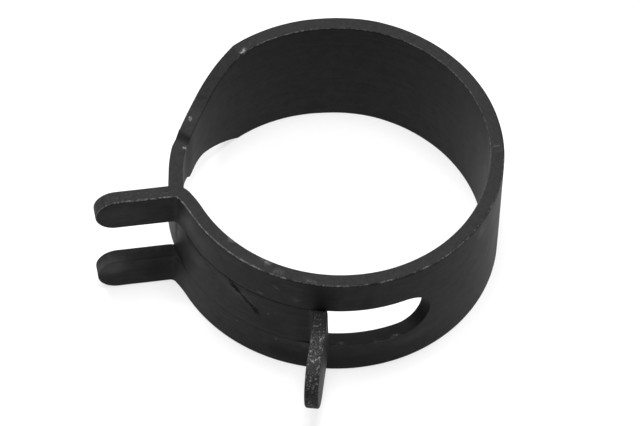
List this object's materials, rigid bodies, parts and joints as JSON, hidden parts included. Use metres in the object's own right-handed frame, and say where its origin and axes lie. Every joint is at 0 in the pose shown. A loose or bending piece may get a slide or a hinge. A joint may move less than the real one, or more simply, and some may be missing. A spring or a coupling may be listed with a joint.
{
  "type": "spring hose clamp",
  "caption": "Spring band hose clamp: a rolled flat spring strip whose narrow end lies in a slot in its wide end, with tangs to squeeze.",
  "frame": {"origin": "on the plane that the clamp stands on, under the middle of its outline seen from above", "axes": "+Z along the hose, the shortest extent; the back of the band is on the +Y side and the tangs are on the -Y side, the single tang on +X"},
  "size_m": [0.028, 0.033, 0.012],
  "materials": {
    "blackened_spring_steel": "black phosphate and oil over hardened spring steel, worn bright on its sheared edges"
  },
  "bodies": {
    "band_back": {"band_back": "blackened_spring_steel"},
    "band_left_1": {"band_left_1": "blackened_spring_steel"},
    "band_left_2": {"band_left_2": "blackened_spring_steel"},
    "band_taper": {"band_taper": "blackened_spring_steel"},
    "band_neck": {"band_neck": "blackened_spring_steel"},
    "tongue_1": {"tongue_1": "blackened_spring_steel"},
    "tongue_2": {"tongue_2": "blackened_spring_steel"},
    "tongue_3": {"tongue_3": "blackened_spring_steel"},
    "single_tang": {"single_tang": "blackened_spring_steel"},
    "band_right_1": {"band_right_1": "blackened_spring_steel"},
    "band_right_2": {"band_right_2": "blackened_spring_steel"},
    "band_right_3": {"band_right_3": "blackened_spring_steel"},
    "slot_end": {"slot_end": "blackened_spring_steel"},
    "prongs_1": {"upper_prong_1": "blackened_spring_steel", "lower_prong_1": "blackened_spring_steel"},
    "prongs_2": {"upper_prong_2": "blackened_spring_steel", "lower_prong_2": "blackened_spring_steel"},
    "prongs_3": {"upper_prong_3": "blackened_spring_steel", "lower_prong_3": "blackened_spring_steel"},
    "twin_tangs": {"upper_tang": "blackened_spring_steel", "lower_tang": "blackened_spring_steel"}
  },
  "joints": [
    {"name": "squeeze", "type": "hinge", "parent": "band_back", "child": "band_left_1", "pos_m": [-0.00311, 0.01554, 0.006], "axis": [0, 0, -1], "range_deg": [0, 3], "stiffness_Nm_per_rad": 2},
    {"name": "flex_band_left_2", "type": "hinge", "parent": "band_left_1", "child": "band_left_2", "pos_m": [-0.00866, 0.01274, 0.006], "axis": [0, 0, -1], "range_deg": [0, 3]},
    {"name": "flex_band_taper", "type": "hinge", "parent": "band_left_2", "child": "band_taper", "pos_m": [-0.01234, 0.00773, 0.006], "axis": [0, 0, -1], "range_deg": [0, 3]},
    {"name": "flex_band_neck", "type": "hinge", "parent": "band_taper", "child": "band_neck", "pos_m": [-0.01337, 0.0016, 0.006], "axis": [0, 0, -1], "range_deg": [0, 3]},
    {"name": "flex_tongue_1", "type": "hinge", "parent": "band_neck", "child": "tongue_1", "pos_m": [-0.01152, -0.00434, 0.006], "axis": [0, 0, -1], "range_deg": [0, 3]},
    {"name": "flex_tongue_2", "type": "hinge", "parent": "tongue_1", "child": "tongue_2", "pos_m": [-0.00768, -0.00847, 0.006], "axis": [0, 0, -1], "range_deg": [0, 3]},
    {"name": "flex_tongue_3", "type": "hinge", "parent": "tongue_2", "child": "tongue_3", "pos_m": [-0.00248, -0.01066, 0.006], "axis": [0, 0, -1], "range_deg": [0, 3]},
    {"name": "flex_single_tang", "type": "hinge", "parent": "tongue_3", "child": "single_tang", "pos_m": [0.00316, -0.01051, 0.006], "axis": [0, 0, -1], "range_deg": [0, 3]},
    {"name": "flex_band_right_1", "type": "hinge", "parent": "band_back", "child": "band_right_1", "pos_m": [0.00311, 0.01554, 0.006], "axis": [0, 0, 1], "range_deg": [0, 3]},
    {"name": "flex_band_right_2", "type": "hinge", "parent": "band_right_1", "child": "band_right_2", "pos_m": [0.00866, 0.01274, 0.006], "axis": [0, 0, 1], "range_deg": [0, 3]},
    {"name": "flex_band_right_3", "type": "hinge", "parent": "band_right_2", "child": "band_right_3", "pos_m": [0.01234, 0.00773, 0.006], "axis": [0, 0, 1], "range_deg": [0, 3]},
    {"name": "flex_slot_end", "type": "hinge", "parent": "band_right_3", "child": "slot_end", "pos_m": [0.01337, 0.0016, 0.006], "axis": [0, 0, 1], "range_deg": [0, 3]},
    {"name": "flex_prongs_1", "type": "hinge", "parent": "slot_end", "child": "prongs_1", "pos_m": [0.01152, -0.00434, 0.006], "axis": [0, 0, 1], "range_deg": [0, 3]},
    {"name": "flex_prongs_2", "type": "hinge", "parent": "prongs_1", "child": "prongs_2", "pos_m": [0.00768, -0.00847, 0.006], "axis": [0, 0, 1], "range_deg": [0, 3]},
    {"name": "flex_prongs_3", "type": "hinge", "parent": "prongs_2", "child": "prongs_3", "pos_m": [0.00248, -0.01066, 0.006], "axis": [0, 0, 1], "range_deg": [0, 3]},
    {"name": "flex_twin_tangs", "type": "hinge", "parent": "prongs_3", "child": "twin_tangs", "pos_m": [-0.00316, -0.01051, 0.006], "axis": [0, 0, 1], "range_deg": [0, 3]}
  ],
  "couplings": [
    {"joint": "flex_band_left_2", "follows": "squeeze", "ratio": 1},
    {"joint": "flex_band_taper", "follows": "squeeze", "ratio": 1},
    {"joint": "flex_band_neck", "follows": "squeeze", "ratio": 1},
    {"joint": "flex_tongue_1", "follows": "squeeze", "ratio": 1},
    {"joint": "flex_tongue_2", "follows": "squeeze", "ratio": 1},
    {"joint": "flex_tongue_3", "follows": "squeeze", "ratio": 1},
    {"joint": "flex_single_tang", "follows": "squeeze", "ratio": 1},
    {"joint": "flex_band_right_1", "follows": "squeeze", "ratio": 1},
    {"joint": "flex_band_right_2", "follows": "squeeze", "ratio": 1},
    {"joint": "flex_band_right_3", "follows": "squeeze", "ratio": 1},
    {"joint": "flex_slot_end", "follows": "squeeze", "ratio": 1},
    {"joint": "flex_prongs_1", "follows": "squeeze", "ratio": 1},
    {"joint": "flex_prongs_2", "follows": "squeeze", "ratio": 1},
    {"joint": "flex_prongs_3", "follows": "squeeze", "ratio": 1},
    {"joint": "flex_twin_tangs", "follows": "squeeze", "ratio": 1}
  ]
}
